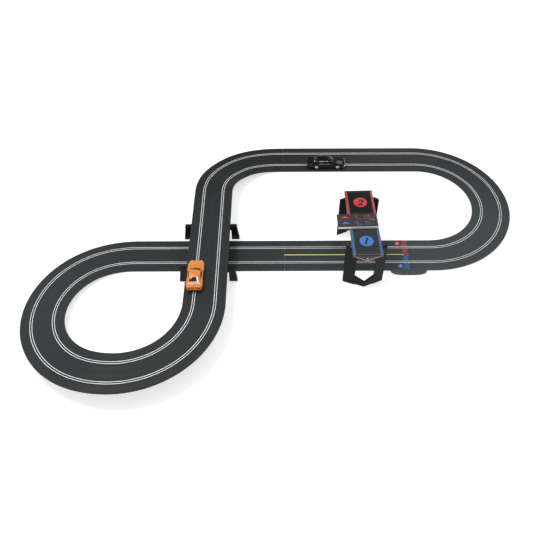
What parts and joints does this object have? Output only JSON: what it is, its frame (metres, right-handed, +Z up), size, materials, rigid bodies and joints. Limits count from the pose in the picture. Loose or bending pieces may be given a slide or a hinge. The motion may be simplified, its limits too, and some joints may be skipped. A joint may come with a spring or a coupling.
{
  "type": "slot car track set",
  "caption": "Figure-of-eight two-lane slot car circuit with a bridge, lap-counter gantry, power base and two cars that run in the slots.",
  "frame": {"origin": "centre of the set's footprint, on the floor", "axes": "+X along the straights towards the right half-turn, +Y towards the far straight, +Z up"},
  "size_m": [1.907, 1.323, 0.2025],
  "materials": {
    "track_plastic": "fine matt moulded",
    "contact_rail": "bright worn top",
    "support_plastic": "matt black",
    "base_plastic": "satin",
    "socket_plastic": "gloss black",
    "circuit_board": "solder resist",
    "gantry_plastic": "dark woven texture",
    "beam_plastic": "satin dark grey",
    "panel_plastic": "printed dark panel",
    "display_plastic": "satin dark with a light front strip",
    "display_window": "clear gloss over dark",
    "fascia_plastic": "matt black",
    "sensor_plastic": "dark infra-red window",
    "screw_steel": "plated",
    "orange_paint": "gloss orange paint",
    "black_paint": "gloss black paint",
    "car_glass": "dark tinted",
    "chassis_plastic": "matt black",
    "motor_steel": "plated can",
    "armature_steel": "steel shaft, laminated core",
    "axle_steel": "bright axle and rims",
    "tyre_rubber": "matt rubber",
    "guide_plastic": "matt black",
    "magnet_steel": "plated magnet"
  },
  "bodies": {
    "circuit": {"bridge_straight_1": "track_plastic", "bridge_straight_2": "track_plastic", "contact_rails": "contact_rail", "display_board": "circuit_board", "display_housing": "display_plastic", "display_window": "display_window", "gantry_beam": "beam_plastic", "gantry_leg_front": "gantry_plastic", "gantry_leg_rear": "gantry_plastic", "gantry_screws": "screw_steel", "lane_panels": "panel_plastic", "lap_sensors": "sensor_plastic", "loop_curve_1": "track_plastic", "loop_curve_2": "track_plastic", "loop_curve_3": "track_plastic", "loop_curve_4": "track_plastic", "loop_curve_5": "track_plastic", "loop_curve_6": "track_plastic", "lower_straight_1": "track_plastic", "lower_straight_2": "track_plastic", "lower_straight_3": "track_plastic", "power_base_board": "circuit_board", "power_base_track": "track_plastic", "right_curve_1": "track_plastic", "right_curve_2": "track_plastic", "right_curve_3": "track_plastic", "right_curve_4": "track_plastic", "start_light_fascia": "fascia_plastic", "terminal_cover": "base_plastic", "terminal_sockets": "socket_plastic", "trestle_front": "support_plastic", "trestle_rear": "support_plastic", "upper_left_curve_1": "track_plastic", "upper_left_curve_2": "track_plastic", "upper_straight_1": "track_plastic", "upper_straight_2": "track_plastic"},
    "orange_guide": {"orange_guide": "guide_plastic"},
    "orange_car": {"orange_body_shell": "orange_paint", "orange_windows": "car_glass", "orange_chassis": "chassis_plastic", "orange_motor": "motor_steel", "orange_magnet": "magnet_steel", "orange_screws": "screw_steel"},
    "orange_rear_wheels": {"orange_rear_axle": "axle_steel", "orange_rear_tyres": "tyre_rubber"},
    "orange_front_wheels": {"orange_front_axle": "axle_steel", "orange_front_tyres": "tyre_rubber"},
    "orange_motor_shaft": {"orange_armature": "armature_steel"},
    "black_guide": {"black_guide": "guide_plastic"},
    "black_car": {"black_body_shell": "black_paint", "black_windows": "car_glass", "black_chassis": "chassis_plastic", "black_motor": "motor_steel", "black_magnet": "magnet_steel", "black_screws": "screw_steel"},
    "black_rear_wheels": {"black_rear_axle": "axle_steel", "black_rear_tyres": "tyre_rubber"},
    "black_front_wheels": {"black_front_axle": "axle_steel", "black_front_tyres": "tyre_rubber"},
    "black_motor_shaft": {"black_armature": "armature_steel"}
  },
  "joints": [
    {"name": "orange_slot_slide", "type": "slide", "parent": "circuit", "child": "orange_guide", "axis": [0, 1, 0], "range_m": [-0.045, 0.38]},
    {"name": "orange_tail_swing", "type": "hinge", "parent": "orange_guide", "child": "orange_car", "pos_m": [-0.331, -0.119, 0.08], "axis": [0, 0, 1], "range_deg": [-30, 30]},
    {"name": "orange_rear_axle_spin", "type": "hinge", "parent": "orange_car", "child": "orange_rear_wheels", "pos_m": [-0.331, -0.219, 0.0903], "axis": [-1, 0, 0], "continuous": true},
    {"name": "orange_front_axle_spin", "type": "hinge", "parent": "orange_car", "child": "orange_front_wheels", "pos_m": [-0.331, -0.136, 0.0903], "axis": [-1, 0, 0], "continuous": true},
    {"name": "orange_armature_spin", "type": "hinge", "parent": "orange_car", "child": "orange_motor_shaft", "pos_m": [-0.331, -0.20875, 0.0903], "axis": [-1, 0, 0], "continuous": true},
    {"name": "black_slot_slide", "type": "slide", "parent": "circuit", "child": "black_guide", "axis": [1, 0, 0], "range_m": [-0.105, 0.3]},
    {"name": "black_tail_swing", "type": "hinge", "parent": "black_guide", "child": "black_car", "pos_m": [0.256, 0.545, 0.008], "axis": [0, 0, 1], "range_deg": [-30, 30]},
    {"name": "black_rear_axle_spin", "type": "hinge", "parent": "black_car", "child": "black_rear_wheels", "pos_m": [0.149, 0.545, 0.0183], "axis": [0, 1, 0], "continuous": true},
    {"name": "black_front_axle_spin", "type": "hinge", "parent": "black_car", "child": "black_front_wheels", "pos_m": [0.243, 0.545, 0.0183], "axis": [0, 1, 0], "continuous": true},
    {"name": "black_armature_spin", "type": "hinge", "parent": "black_car", "child": "black_motor_shaft", "pos_m": [0.15925, 0.545, 0.0183], "axis": [0, 1, 0], "continuous": true}
  ],
  "couplings": [
    {"joint": "orange_armature_spin", "follows": "orange_rear_axle_spin", "ratio": -2.7273},
    {"joint": "black_armature_spin", "follows": "black_rear_axle_spin", "ratio": -2.7273}
  ]
}
